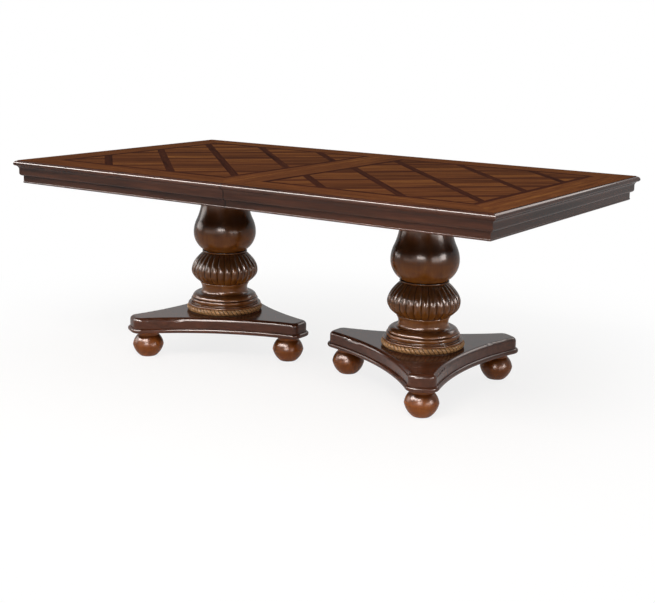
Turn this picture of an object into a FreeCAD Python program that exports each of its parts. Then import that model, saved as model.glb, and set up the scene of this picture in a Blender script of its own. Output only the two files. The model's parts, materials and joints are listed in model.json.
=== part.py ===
import FreeCAD, Part
import math
import os
import types

import Sketcher

# Extension dining table: a parquet top in two halves that slide apart for a leaf, each half on its own
# turned and carved pedestal with a three-pointed base on bun feet.
# Millimetres. +X along the table, +Y to its back, +Z up.
# The origin is on the floor under the middle of the closed top.

SIZES = {
    # Overall
    "top_length": 2032,
    "top_width": 1168,
    "table_height": 762,
    "seam_gap": 0.8,
    # Build-up of the top
    "veneer_thickness": 1,
    "board_thickness": 24,
    # Edge moulding, from the top down
    "moulding_width": 45,
    "quirk_depth": 1,
    "nose_radius": 11.5,
    "under_radius": 7,
    "cove_drop": 14.5,
    "cove_radius": 16,
    "fascia_inset": 15.5,
    "fascia_height": 14,
    "ovolo_radius": 10.5,
    # Apron
    "apron_drop": 87,
    "apron_inset": 27,
    "apron_web": 20,
    "apron_bead_height": 5,
    "apron_bead_radius": 3,
    "apron_bead_lift": 0.8,
    # Veneer pattern
    "seam_border": 76,
    "end_border": 127,
    "side_border": 121,
    "string_width": 22,
    "band_width": 30,
    "lattice_spacing": 306,
    # Blocks in the corners of the apron
    "block_leg": 70,
    "block_lift": 10,
    # Pedestal place, its top plate and the cleats that carry it
    "pedestal_offset": 457,
    "plate_side": 340,
    "plate_thickness": 28,
    "plate_chamfer": 40,
    "cleat_width": 60,
    "cleat_length": 340,
    "cleat_height": 32,
    "cleat_offset": 110,
    "plate_bolt_offset": 125,
    "plate_bolt_radius": 4,
    "plate_bolt_head_radius": 7.5,
    "plate_bolt_head_height": 5,
    "plate_bolt_bite": 24,
    # Bun feet and glides
    "foot_height": 101,
    "glide_height": 3,
    "glide_radius": 16,
    "foot_tip_inset": 75,
    "foot_sole_radius": 32,
    "foot_radius": 59.5,
    "foot_belly_height": 47,
    "foot_neck_radius": 40,
    "foot_neck_drop": 16,
    "foot_collar_radius": 46,
    "foot_lower_curve": 75,
    "foot_upper_curve": 62,
    "foot_neck_curve": 20,
    "foot_bolt_radius": 5,
    "foot_bolt_bite": 32,
    # Three-pointed platform: a bead below and a stepped-in tier above
    "tip_reach": 392,
    "waist_reach": 189,
    "side_radius": 1005,
    "bead_thickness": 18,
    "bead_round": 8.4,
    "bead_corner_radius": 40,
    "tier_thickness": 41,
    "tier_inset": 9,
    "tier_round": 15,
    "tier_corner_radius": 31,
    # Rope ring round the spigot of the socle
    "ring_plinth_radius": 146,
    "ring_plinth_height": 2,
    "ring_rope_radius": 150,
    "ring_rope_height": 21,
    "ring_rope_curve": 10.55,
    "ring_bore_radius": 110,
    # Socle, from the rope ring up
    "socle_ring_radius": 144,
    "socle_ring_height": 7,
    "socle_ring_round": 5,
    "socle_step_radius": 134,
    "socle_step_height": 2,
    "socle_cove_radius": 125,
    "socle_cove_height": 6,
    "socle_cove_curve": 10.7,
    "socle_bead_height": 8,
    "socle_bead_curve": 4.4,
    "socle_quirk_radius": 121,
    "socle_quirk_height": 2,
    "shelf_radius": 127,
    "shelf_wall_height": 3,
    "shelf_round": 14,
    "shelf_lip_radius": 98,
    "shelf_lip_height": 6,
    "neck_radius": 90,
    "neck_lower_height": 16,
    "neck_upper_height": 20,
    "neck_lower_curve": 20,
    "neck_upper_curve": 45,
    "fillet_radius": 95,
    "fillet_height": 7,
    # Melon bulb
    "melon_height": 119,
    "melon_belly_height": 48,
    "melon_foot_radius": 97,
    "melon_belly_radius": 132,
    "melon_top_radius": 84,
    "melon_belly_groove": 6.5,
    "melon_pole_groove": 2.5,
    # Vase, from the melon bulb up
    "vase_collar_radius": 86,
    "vase_bowl_radius": 82,
    "vase_belly_radius": 123,
    "vase_shoulder_radius": 110,
    "vase_neck_radius": 91,
    "vase_cap_radius": 104,
    # Spigots between the turned sections, and the tie rod through them
    "spigot_radius": 25,
    "spigot_length": 20,
    "rod_radius": 6,
    "rod_end": 2,
    "nut_radius": 11,
    "nut_height": 10,
    "washer_radius": 15,
    "washer_thickness": 2.5,
    "nut_well_radius": 18,
    "nut_well_depth": 16,
    # Extension slides
    "slide_offset": 240,
    "slide_width": 24,
    "slide_height": 38,
    "slide_gap": 0.6,
    "slide_relief": 1,
    "slide_tail": 330,
    "slide_root": 640,
    "slide_middle_reach": 480,
    "groove_depth": 7,
    "groove_mouth": 12,
    "groove_bottom": 18,
    "groove_play": 1.6,
    "screw_radius": 2.5,
    "screw_head_radius": 5,
    "screw_head_height": 3,
    "screw_well_depth": 12,
    "screw_bite": 14,
    "screw_first": 120,
    "screw_pitch": 210,
    # Pins in the seam
    "pin_radius": 5,
    "pin_seat": 16,
    "pin_reach": 12,
    "pin_end_gap": 2,
    "pin_inner_offset": 150,
    "pin_outer_offset": 430,
    # Locks under the seam
    "lock_offset": 110,
    "lock_pivot": 23,
    "lock_stud": 22,
    "lock_plate_length": 44,
    "lock_plate_width": 64,
    "lock_sheet": 3,
    "lock_edge_gap": 3,
    "lock_pin_radius": 5,
    "lock_head_radius": 9,
    "lock_hub_radius": 13,
    "lock_arm_radius": 57,
    "lock_stud_radius": 4,
    "lock_stud_drop": 7,
    "lock_tab_length": 34,
    "lock_tab_width": 14,
    # Clearances
    "fit_gap": 0.2,
    "run_gap": 0.4,
    "rod_clearance": 0.6,
    "stud_clearance": 0.8,
    "cut_overrun": 2,
}
LOBES = 28
NUT_SIDES = 6
SCREWS_PER_RAIL = 3
LOCK_ARM_DEGREES = 75
LOCK_SLOT_DEGREES = 50
LOCK_OPEN_DEGREES = 25
LOCK_TAB_DEGREES = 60
HALF_TURN = 180
FOOT_DEGREES = (60, 180, 300)
MELON_SECTION_SHARES = (1.0, 0.85, 0.65, 0.45, 0.22)
# Powers by which the melon's crest sinks below and above its belly
MELON_LOWER_POWER = 2.2
MELON_UPPER_POWER = 1.8
# Levels of the vase's collar, belly, shoulder, neck and bead, and the arcs that end there
VASE_LEVEL_SHARES = (0.0246, 0.2746, 0.4648, 0.79, 0.84)
VASE_CURVE_SHARES = (0.0127, 0.296, 0.4225, 0.792, 0.0277)


class Length:
    """A size in millimetres that carries the sheet formula it comes from."""

    def __init__(self, value, formula):
        self.value = float(value)
        self.formula = formula

    def combine(self, other, sign, value):
        return Length(value, f"({self.formula} {sign} {other.formula})")

    def __add__(self, other):
        return self.combine(other, "+", self.value + other.value)

    def __sub__(self, other):
        return self.combine(other, "-", self.value - other.value)

    def __mul__(self, share):
        return Length(self.value * share, f"({self.formula} * {share!r})")

    def __truediv__(self, number):
        return Length(self.value / number, f"({self.formula} / {number!r})")

    def __neg__(self):
        return Length(-self.value, f"(-{self.formula})")


ZERO = Length(0, "0")

doc = FreeCAD.newDocument("DiningTable")
sheet = doc.addObject("Spreadsheet::Sheet", "Sizes")
for row, (alias, millimetres) in enumerate(SIZES.items(), start=1):
    sheet.set(f"A{row}", alias)
    sheet.set(f"B{row}", str(millimetres))
    sheet.setAlias(f"B{row}", alias)
doc.recompute()
size = types.SimpleNamespace(**{alias: Length(value, f"Sizes.{alias}") for alias, value in SIZES.items()})

nodes = []


# Helpers that bind shapes to the sheet


def bind(item, **properties):
    """Bind properties of a document object to lengths; two underscores stand for a dot."""
    for name, length in properties.items():
        item.setExpression(name.replace("__", "."), length.formula)


def move(item, x=ZERO, y=ZERO, z=ZERO):
    """Bind an object's place to lengths."""
    bind(item, Placement__Base__x=x, Placement__Base__y=y, Placement__Base__z=z)
    return item


def turn(item, degrees):
    """Turn an object about the vertical."""
    item.Placement = FreeCAD.Placement(item.Placement.Base, FreeCAD.Rotation(FreeCAD.Vector(0, 0, 1), degrees))
    return item


def keep(item, label):
    """Make an object a node of the table."""
    item.Label = label
    nodes.append(item)
    return item


def new_sketch(body, role, offset=ZERO):
    """Sketch on one of the body's own origin planes, moved along the plane's normal."""
    sketch = body.newObject("Sketcher::SketchObject", f"{body.Name}_sketch")
    plane = next(item for item in body.Origin.OriginFeatures if item.Role == role)
    sketch.AttachmentSupport = [(plane, "")]
    sketch.MapMode = "FlatFace"
    bind(sketch, AttachmentOffset__Base__z=offset)
    return sketch


def arc_between(start, end, radius, side):
    """Arc of less than half a turn; side 1 swells to the right of the walk, -1 to its left."""
    chord = end - start
    half = chord.Length / 2
    across = FreeCAD.Vector(-chord.y, chord.x, 0).normalize() * side
    centre = (start + end) / 2 + across * math.sqrt(max(radius * radius - half * half, 0))
    first, last = (start, end) if side > 0 else (end, start)
    angles = [math.atan2(point.y - centre.y, point.x - centre.x) for point in (first, last)]
    return Part.ArcOfCircle(Part.Circle(centre, FreeCAD.Vector(0, 0, 1), radius), *angles)


def place_point(geometry, position, x, y):
    """Constraints that hold a sketch point at two lengths, with the formulas that drive them."""
    found = []
    for kind, axis, length in (("DistanceX", -2, x), ("DistanceY", -1, y)):
        if length is ZERO:
            found.append((Sketcher.Constraint("PointOnObject", geometry, position, axis), None))
        else:
            found.append((Sketcher.Constraint(kind, -1, 1, geometry, position, length.value), length.formula))
    return found


def apply_constraints(sketch, pairs):
    """Add constraints in one go and bind those that have a formula."""
    numbers = sketch.addConstraint([constraint for constraint, formula in pairs])
    for number, (constraint, formula) in zip(numbers, pairs):
        if formula:
            sketch.setExpression(f"Constraints[{number}]", formula)


def draw(sketch, points, arcs=None):
    """Closed outline through points, walked anticlockwise; arcs gives (radius, side) by edge number."""
    arcs = arcs or {}
    corners = [FreeCAD.Vector(x.value, y.value, 0) for x, y in points]
    edges = []
    pairs = []
    for number, start in enumerate(corners):
        end = corners[(number + 1) % len(corners)]
        if number in arcs:
            radius, side = arcs[number]
            geometry = sketch.addGeometry(arc_between(start, end, radius.value, side))
            edges.append((geometry, 1, 2) if side > 0 else (geometry, 2, 1))
            pairs.append((Sketcher.Constraint("Radius", geometry, radius.value), radius.formula))
        else:
            edges.append((sketch.addGeometry(Part.LineSegment(start, end)), 1, 2))
    for number, (geometry, first, last) in enumerate(edges):
        before = edges[number - 1]
        pairs.append((Sketcher.Constraint("Coincident", before[0], before[2], geometry, first), None))
        pairs += place_point(geometry, first, *points[number])
    apply_constraints(sketch, pairs)


def new_body(name):
    """Empty body."""
    return doc.addObject("PartDesign::Body", name)


def extrude(body, sketch, height):
    """Pad a sketch along its normal."""
    pad = body.newObject("PartDesign::Pad", f"{body.Name}_pad")
    pad.Profile = sketch
    bind(pad, Length=height)
    return pad


def cut_through(body, sketch):
    """Pocket a sketch right through the body, both ways."""
    pocket = body.newObject("PartDesign::Pocket", f"{body.Name}_cut")
    pocket.Profile = sketch
    pocket.Type = "ThroughAll"
    pocket.SideType = "Symmetric"
    return pocket


def prism(name, points, low, height, arcs=None):
    """Body with an outline in plan, from a low level up."""
    body = new_body(name)
    sketch = new_sketch(body, "XY_Plane", low)
    draw(sketch, points, arcs)
    extrude(body, sketch, height)
    return body


def turned(name, points, arcs=None):
    """Body turned about the vertical; the points are (radius, height)."""
    body = new_body(name)
    sketch = new_sketch(body, "XZ_Plane")
    draw(sketch, points, arcs)
    spin = body.newObject("PartDesign::Revolution", f"{name}_turning")
    spin.Profile = sketch
    spin.ReferenceAxis = (sketch, ["V_Axis"])
    spin.Angle = 2 * HALF_TURN
    return body


def block(name, length, width, height, x=ZERO, y=ZERO, z=ZERO):
    """Rectangular block with its low corner at x, y, z."""
    box = doc.addObject("Part::Box", name)
    bind(box, Length=length, Width=width, Height=height)
    return move(box, x, y, z)


def peg(name, radius, height, x=ZERO, y=ZERO, z=ZERO):
    """Upright cylinder with the middle of its foot at x, y, z."""
    cylinder = doc.addObject("Part::Cylinder", name)
    bind(cylinder, Radius=radius, Height=height)
    return move(cylinder, x, y, z)


def lying_peg(name, radius, height, x, y, z):
    """Cylinder along +X from x, y, z."""
    cylinder = peg(name, radius, height, x, y, z)
    cylinder.Placement.Rotation = FreeCAD.Rotation(FreeCAD.Vector(0, 0, 1), FreeCAD.Vector(1, 0, 0))
    return cylinder


def group(name, items):
    """Separate solids in one node."""
    compound = doc.addObject("Part::Compound", name)
    compound.Links = items
    return compound


def fuse(name, items):
    """One solid from several."""
    union = doc.addObject("Part::MultiFuse", name)
    union.Shapes = items
    return union


def cut(name, base, tools):
    """Base less the tools."""
    difference = doc.addObject("Part::Cut", name)
    difference.Base = base
    difference.Tool = tools[0] if len(tools) == 1 else fuse(f"{name}_tools", tools)
    return difference


# Levels and places that several pieces share

board_top = size.table_height - size.veneer_thickness
board_low = board_top - size.board_thickness
nose_level = board_top - size.quirk_depth - size.nose_radius
under_level = nose_level - size.under_radius
fascia_top = under_level - size.cove_drop
fascia_low = fascia_top - size.fascia_height
moulding_low = fascia_low - size.ovolo_radius
apron_low = size.table_height - size.apron_drop
apron_back = size.moulding_width + size.apron_web
half_length = size.top_length / 2
half_width = size.top_width / 2
seam_half = size.seam_gap / 2

plate_top = board_low - size.cleat_height
plate_low = plate_top - size.plate_thickness
tier_low = size.foot_height + size.bead_thickness
platform_top = tier_low + size.tier_thickness
rope_low = platform_top + size.ring_plinth_height
socle_low = rope_low + size.ring_rope_height
step_low = socle_low + size.socle_ring_height
socle_cove_low = step_low + size.socle_step_height
socle_bead_low = socle_cove_low + size.socle_cove_height
socle_quirk_low = socle_bead_low + size.socle_bead_height
shelf_low = socle_quirk_low + size.socle_quirk_height
shelf_round_low = shelf_low + size.shelf_wall_height
shelf_round_top = shelf_round_low + size.shelf_round
shelf_top = shelf_round_top + size.shelf_lip_height
neck_level = shelf_top + size.neck_lower_height
fillet_low = neck_level + size.neck_upper_height
melon_low = fillet_low + size.fillet_height
melon_belly = melon_low + size.melon_belly_height
melon_top = melon_low + size.melon_height
vase_height = plate_low - melon_top
foot_circle = size.tip_reach - size.foot_tip_inset
foot_neck = size.foot_height - size.foot_neck_drop
rod_bore = size.rod_radius + size.rod_clearance

slide_low = board_low - size.slide_height
groove_level = board_low - size.slide_height / 2
slide_middle_start = size.slide_offset + size.slide_width + size.slide_gap
slide_outer_start = slide_middle_start + size.slide_width + size.slide_gap


# Top: board, veneers, edge and apron


def pin_places():
    """Places of the seam pins across the table."""
    return (-size.pin_outer_offset, -size.pin_inner_offset, size.pin_inner_offset, size.pin_outer_offset)


def slide_screw_places():
    """Places of one rail's screws along the table."""
    return [size.screw_first + size.screw_pitch * number for number in range(SCREWS_PER_RAIL)]


def rail_starts():
    """Low Y of the two rails of the right half: the inner one in front, the outer one behind."""
    return (-(size.slide_offset + size.slide_width), slide_outer_start)


def make_board(side, angle, seat_gap, pin_depth):
    """Core board with holes for the seam pins and for the screws of the slide rails."""
    blank = block(f"{side}_board_blank", half_length - size.moulding_width - seam_half,
                  size.top_width - size.moulding_width * 2, size.board_thickness,
                  seam_half, size.moulding_width - half_width, board_low)
    holes = []
    for number, place in enumerate(pin_places()):
        holes.append(lying_peg(f"{side}_pin_hole_{number}", size.pin_radius + seat_gap,
                               pin_depth - seam_half + size.cut_overrun, seam_half - size.cut_overrun, place,
                               board_low + size.board_thickness / 2))
    for start in rail_starts():
        for place in slide_screw_places():
            holes.append(peg(f"{side}_screw_hole", size.screw_radius + size.fit_gap,
                             size.screw_bite + size.cut_overrun, place, start + size.slide_width / 2,
                             board_low - size.cut_overrun))
    keep(turn(cut(f"{side}_board_cut", blank, holes), angle), f"{side}_top_board")


def make_veneers(side, angle):
    """Border strips, dark inlay and field cells, all one veneer thick."""
    x_low = size.seam_border
    x_high = half_length - size.end_border
    y_high = half_width - size.side_border
    outer_x = half_length - size.nose_radius
    outer_y = half_width - size.nose_radius
    inner = [(x_low, -y_high), (x_high, -y_high), (x_high, y_high), (x_low, y_high)]
    outer = [(seam_half, -outer_y), (outer_x, -outer_y), (outer_x, outer_y), (seam_half, outer_y)]
    strips = []
    for number in range(len(inner)):
        following = (number + 1) % len(inner)
        corners = [outer[number], outer[following], inner[following], inner[number]]
        strips.append(prism(f"{side}_border_strip_{number}", corners, board_top, size.veneer_thickness))
    keep(turn(group(f"{side}_border", strips), angle), f"{side}_border_veneer")

    cells = doc.addObject("Part::Feature", f"{side}_cells")
    cells.Shape = lattice_cells(x_low, x_high, y_high)
    sheet_blank = block(f"{side}_inlay_blank", x_high - x_low, y_high * 2, size.veneer_thickness,
                        x_low, -y_high, board_top)
    keep(turn(cut(f"{side}_inlay", sheet_blank, [cells]), angle), f"{side}_dark_inlay")
    keep(turn(group(f"{side}_field", [cells]), angle), f"{side}_field_veneer")


def lattice_cells(x_low, x_high, y_high):
    """Diamonds on a square lattice turned 45 degrees about the field's middle, trimmed to the string line."""
    left = (x_low + size.string_width).value
    right = (x_high - size.string_width).value
    back = (y_high - size.string_width).value
    low = board_top.value
    thickness = size.veneer_thickness.value
    pitch = size.lattice_spacing.value
    reach = pitch / 2 - size.band_width.value / math.sqrt(2)
    middle = (left + right) / 2
    field = Part.makeBox(right - left, 2 * back, thickness, FreeCAD.Vector(left, -back, low))
    rows = math.ceil((right - left + 2 * back) / (2 * pitch)) + 1
    solids = []
    for first in range(-rows, rows):
        for second in range(-rows, rows):
            along = (first + 0.5) * pitch
            across = (second + 0.5) * pitch
            x = middle + (along + across) / 2
            y = (along - across) / 2
            corners = [FreeCAD.Vector(x + reach * math.cos(quarter), y + reach * math.sin(quarter), low)
                       for quarter in (0, math.pi / 2, math.pi, 3 * math.pi / 2, 0)]
            diamond = Part.Face(Part.makePolygon(corners)).extrude(FreeCAD.Vector(0, 0, thickness))
            solids += diamond.common(field).Solids
    return Part.makeCompound(solids)


def moulding_outline():
    """Section of the edge moulding: quirk, round nose, cove, fascia and rounded lower edge."""
    points = [
        (size.moulding_width, moulding_low),
        (size.moulding_width, board_top),
        (size.nose_radius, board_top),
        (size.nose_radius, board_top - size.quirk_depth),
        (ZERO, nose_level),
        (size.under_radius, under_level),
        (size.fascia_inset, fascia_top),
        (size.fascia_inset, fascia_low),
        (size.fascia_inset + size.ovolo_radius, moulding_low),
    ]
    arcs = {3: (size.nose_radius, 1), 4: (size.under_radius, 1), 5: (size.cove_radius, -1),
            7: (size.ovolo_radius, 1)}
    return points, arcs


def apron_outline():
    """Section of the apron: a web behind the moulding, a face below it and a bead along the bottom."""
    bead_low = apron_low + size.apron_bead_lift
    points = [
        (apron_back, apron_low),
        (apron_back, board_low),
        (size.moulding_width, board_low),
        (size.moulding_width, moulding_low),
        (size.apron_inset, moulding_low),
        (size.apron_inset, bead_low + size.apron_bead_height),
        (size.apron_inset, bead_low),
        (size.apron_inset, apron_low),
    ]
    return points, {5: (size.apron_bead_radius, 1)}


def make_rail(name, outline, depth, start, stop, mitres):
    """Moulded length along X with its outside at Y = 0, mitred at its start, its stop or both."""
    body = new_body(name)
    sketch = new_sketch(body, "YZ_Plane", start)
    draw(sketch, *outline)
    extrude(body, sketch, stop - start)
    over = size.cut_overrun
    for end, inward, wanted in ((start, 1, mitres[0]), (stop, -1, mitres[1])):
        if wanted:
            corners = [(end - over * inward, -over), (end + (depth + over) * inward, depth + over),
                       (end - over * inward, depth + over)]
            cutter = new_sketch(body, "XY_Plane")
            draw(cutter, corners if inward > 0 else corners[::-1])
            cut_through(body, cutter)
    return body


def make_edges(side, angle, front, back):
    """Edge mouldings and aprons of one half: front, end and back, each mitred to the next."""
    for piece, outline, depth in (("edge_moulding", moulding_outline(), size.moulding_width),
                                  ("apron", apron_outline(), apron_back)):
        rails = {
            front: (make_rail(f"{side}_{piece}_{front}_body", outline, depth, seam_half, half_length, (0, 1)),
                    0, ZERO, -half_width),
            "end": (make_rail(f"{side}_{piece}_end_body", outline, depth, -half_width, half_width, (1, 1)),
                    HALF_TURN / 2, half_length, ZERO),
            back: (make_rail(f"{side}_{piece}_{back}_body", outline, depth, -half_length, -seam_half, (1, 0)),
                   HALF_TURN, ZERO, half_width),
        }
        for place, (body, own_angle, x, y) in rails.items():
            sign = 1 if angle == 0 else -1
            turn(body, own_angle + angle)
            move(body, x * sign, y * sign)
            keep(body, f"{side}_{piece}_{place}")


def make_corner_blocks(side, angle):
    """Three-cornered glue blocks behind the mitres of the apron."""
    x = half_length - apron_back
    low = apron_low + size.block_lift
    solids = []
    for name, y, inward in (("a", apron_back - half_width, 1), ("b", half_width - apron_back, -1)):
        corners = [(x - size.block_leg, y), (x, y), (x, y + size.block_leg * inward)]
        walk = corners if inward > 0 else corners[::-1]
        solids.append(prism(f"{side}_block_{name}", walk, low, board_low - low))
    keep(turn(group(f"{side}_blocks", solids), angle), f"{side}_corner_blocks")


# Extension slides


def rail_section(y):
    """Fixed slide rail with a dovetail groove in its face at the low Y."""
    high = y + size.slide_width
    mouth = size.groove_mouth / 2
    bottom = size.groove_bottom / 2
    return [(y, slide_low), (high, slide_low), (high, board_low), (y, board_low), (y, groove_level + mouth),
            (y + size.groove_depth, groove_level + bottom), (y + size.groove_depth, groove_level - bottom),
            (y, groove_level - mouth)]


def make_slide_rails(side, angle):
    """Two fixed rails, screwed up into the board and relieved where they pass under the other half."""
    over = size.cut_overrun
    rails = []
    screws = []
    for name, y in zip(("inner", "outer"), rail_starts()):
        body = new_body(f"{side}_rail_{name}")
        sketch = new_sketch(body, "YZ_Plane", -size.slide_tail)
        draw(sketch, rail_section(y))
        extrude(body, sketch, size.slide_tail + size.slide_root)
        relief = new_sketch(body, "XZ_Plane")
        floor = board_low - size.slide_relief
        draw(relief, [(-size.slide_tail - over, floor), (over, floor), (over, board_low + over),
                      (-size.slide_tail - over, board_low + over)])
        cut_through(body, relief)
        holes = []
        middle = y + size.slide_width / 2
        seat = slide_low + size.screw_well_depth
        for number, x in enumerate(slide_screw_places()):
            holes.append(peg(f"{body.Name}_well_{number}", size.screw_head_radius + size.fit_gap,
                             size.screw_well_depth + over, x, middle, slide_low - over))
            holes.append(peg(f"{body.Name}_hole_{number}", size.screw_radius + size.fit_gap,
                             board_low - seat + over, x, middle, seat))
            screws.append(fuse(f"{body.Name}_screw_{number}", [
                peg(f"{body.Name}_screw_head_{number}", size.screw_head_radius, size.screw_head_height,
                    x, middle, seat - size.screw_head_height),
                peg(f"{body.Name}_screw_shank_{number}", size.screw_radius,
                    board_low - seat + size.screw_bite - size.fit_gap, x, middle, seat)]))
        rails.append(cut(f"{side}_rail_{name}_drilled", body, holes))
    keep(turn(group(f"{side}_rails", rails), angle), f"{side}_slide_rails")
    keep(turn(group(f"{side}_rail_screws", screws), angle), f"{side}_slide_screws")


def make_slide_middles():
    """Middle rails with a dovetail tongue on each face; they run between the fixed rails of the two halves."""
    low = slide_low + size.slide_relief
    high = board_low - size.slide_relief
    root = (size.groove_mouth - size.groove_play) / 2
    tip = (size.groove_bottom - size.groove_play) / 2
    rails = []
    for name, y in (("front", -(slide_middle_start + size.slide_width)), ("back", slide_middle_start)):
        far = y + size.slide_width
        section = [(y, low), (far, low), (far, groove_level - root),
                   (far + size.groove_depth, groove_level - tip), (far + size.groove_depth, groove_level + tip),
                   (far, groove_level + root), (far, high), (y, high), (y, groove_level + root),
                   (y - size.groove_depth, groove_level + tip), (y - size.groove_depth, groove_level - tip),
                   (y, groove_level - root)]
        body = new_body(f"slide_middle_{name}")
        sketch = new_sketch(body, "YZ_Plane", -size.slide_middle_reach)
        draw(sketch, section)
        extrude(body, sketch, size.slide_middle_reach * 2)
        rails.append(body)
    keep(group("slide_middle_pair", rails), "slide_middles")


def make_pins():
    """Seam pins, seated in the left board and free in the right one."""
    pins = []
    for number, y in enumerate(pin_places()):
        pins.append(lying_peg(f"pin_{number}", size.pin_radius, size.pin_seat + size.pin_reach,
                              -size.pin_seat, y, board_low + size.board_thickness / 2))
    keep(group("pins", pins), "alignment_pins")


# Locks under the seam


def make_locks():
    """Two swivel locks: a plate with a pivot pin, a lever with an open hook, and a keeper with a stud."""
    sheet_low = board_low - size.lock_sheet
    lever_top = sheet_low - size.run_gap
    lever_low = lever_top - size.lock_sheet
    head_top = lever_low - size.run_gap
    hook = size.lock_pivot + size.lock_stud
    slot = size.lock_stud_radius + size.stud_clearance
    plates = []
    keepers = []
    for name, y in (("front", -size.lock_offset), ("back", size.lock_offset)):
        plates.append(fuse(f"lock_plate_{name}", [
            block(f"lock_sheet_{name}", size.lock_plate_length, size.lock_plate_width, size.lock_sheet,
                  -size.lock_edge_gap - size.lock_plate_length, y - size.lock_plate_width / 2, sheet_low),
            peg(f"lock_pin_{name}", size.lock_pin_radius, sheet_low - head_top, -size.lock_pivot, y, head_top),
            peg(f"lock_head_{name}", size.lock_head_radius, size.lock_sheet, -size.lock_pivot, y,
                head_top - size.lock_sheet)]))
        keepers.append(fuse(f"lock_keeper_{name}", [
            block(f"keeper_sheet_{name}", size.lock_plate_length, size.lock_plate_width, size.lock_sheet,
                  size.lock_edge_gap, y - size.lock_plate_width / 2, sheet_low),
            peg(f"keeper_stud_{name}", size.lock_stud_radius, size.lock_stud_drop, size.lock_stud, y,
                sheet_low - size.lock_stud_drop)]))
        arm = peg(f"lock_arm_{name}", size.lock_arm_radius, size.lock_sheet)
        arm.Angle = LOCK_ARM_DEGREES
        tab = block(f"lock_tab_{name}", size.lock_tab_length, size.lock_tab_width, size.lock_sheet)
        lean = math.radians(LOCK_TAB_DEGREES)
        reach = size.lock_arm_radius - size.lock_tab_width
        move(tab, reach * math.cos(lean), reach * math.sin(lean))
        turn(tab, LOCK_TAB_DEGREES)
        solid = fuse(f"lock_lever_blank_{name}", [
            arm, peg(f"lock_hub_{name}", size.lock_hub_radius, size.lock_sheet), tab])
        over = size.cut_overrun
        outer = peg(f"lock_slot_outer_{name}", hook + slot, size.lock_sheet + over * 2, z=-over)
        inner = peg(f"lock_slot_inner_{name}", hook - slot, size.lock_sheet + over * 4, z=-over * 2)
        outer.Angle = LOCK_SLOT_DEGREES
        lever = cut(f"lock_lever_{name}_body", solid, [
            cut(f"lock_slot_{name}", outer, [inner]),
            peg(f"lock_hole_{name}", size.lock_pin_radius + size.run_gap, size.lock_sheet + over * 2, z=-over)])
        turn(lever, LOCK_OPEN_DEGREES)
        keep(move(lever, -size.lock_pivot, y, lever_low), f"lock_lever_{name}")
    keep(group("lock_plate_pair", plates), "lock_plates")
    keep(group("lock_keeper_pair", keepers), "lock_keepers")


# Pedestal


def stand(item, label, side):
    """Put a pedestal piece, made about the vertical axis, under its half of the top."""
    sign = 1 if side == "right" else -1
    turn(item, 0 if side == "right" else HALF_TURN)
    move(item, size.pedestal_offset * sign)
    return keep(item, label)


def make_plate(side):
    """Top plate of the pedestal, its two cleats and the bolts that join them."""
    half = size.plate_side / 2
    cropped = half - size.plate_chamfer
    corners = [(-cropped, -half), (cropped, -half), (half, -cropped), (half, cropped), (cropped, half),
               (-cropped, half), (-half, cropped), (-half, -cropped)]
    over = size.cut_overrun
    hole = size.plate_bolt_radius + size.fit_gap
    well_low = plate_top - size.nut_well_depth
    tools = [peg(f"{side}_plate_bore", rod_bore, size.plate_thickness + over, z=plate_low - over),
             peg(f"{side}_plate_well", size.nut_well_radius, size.nut_well_depth + over, z=well_low)]
    cleats = []
    bolts = []
    for x_sign in (-1, 1):
        x = size.cleat_offset * x_sign
        blank = block(f"{side}_cleat_blank", size.cleat_width, size.cleat_length, size.cleat_height,
                      x - size.cleat_width / 2, -size.cleat_length / 2, plate_top)
        cleat_tools = []
        for y_sign in (-1, 1):
            y = size.plate_bolt_offset * y_sign
            name = f"{side}_plate_bolt_{x_sign + 1}{y_sign + 1}"
            tools.append(peg(f"{name}_hole", hole, size.plate_thickness + over * 2, x, y, plate_low - over))
            cleat_tools.append(peg(f"{name}_bite", hole, size.plate_bolt_bite + size.fit_gap + over, x, y,
                                   plate_top - over))
            bolts.append(fuse(name, [
                peg(f"{name}_head", size.plate_bolt_head_radius, size.plate_bolt_head_height, x, y,
                    plate_low - size.plate_bolt_head_height),
                peg(f"{name}_shank", size.plate_bolt_radius, size.plate_thickness + size.plate_bolt_bite, x, y,
                    plate_low)]))
        cleats.append(cut(f"{side}_cleat_{x_sign + 1}", blank, cleat_tools))
    plate = prism(f"{side}_plate_blank", corners, plate_low, size.plate_thickness)
    stand(cut(f"{side}_plate_drilled", plate, tools), f"{side}_top_plate", side)
    stand(group(f"{side}_cleat_pair", cleats), f"{side}_cleats", side)
    stand(group(f"{side}_plate_bolt_set", bolts), f"{side}_plate_bolts", side)


def make_vase(side):
    """Smooth upper swelling of the column, with a spigot below and a cap under the top plate."""
    tip = melon_top - size.spigot_length
    levels = [melon_top + vase_height * share for share in VASE_LEVEL_SHARES]
    collar, belly, shoulder, neck, bead = levels
    points = [
        (rod_bore, tip),
        (size.spigot_radius, tip),
        (size.spigot_radius, melon_top),
        (size.vase_collar_radius, melon_top),
        (size.vase_collar_radius, collar),
        (size.vase_bowl_radius, collar),
        (size.vase_belly_radius, belly),
        (size.vase_shoulder_radius, shoulder),
        (size.vase_neck_radius, neck),
        (size.vase_neck_radius, bead),
        (size.vase_cap_radius, bead),
        (size.vase_cap_radius, plate_low),
        (rod_bore, plate_low),
    ]
    curves = [vase_height * share for share in VASE_CURVE_SHARES]
    arcs = {3: (curves[0], 1), 5: (curves[1], 1), 6: (curves[2], 1), 7: (curves[3], -1), 8: (curves[4], 1)}
    stand(turned(f"{side}_vase_body", points, arcs), f"{side}_vase", side)


def melon_radius(height, belly, end):
    """Crest radius at a height from the belly; it sinks to the end (radius, height) by the end's power."""
    return belly - (belly - end[0]) * (abs(height) / end[1]) ** end[2]


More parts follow.
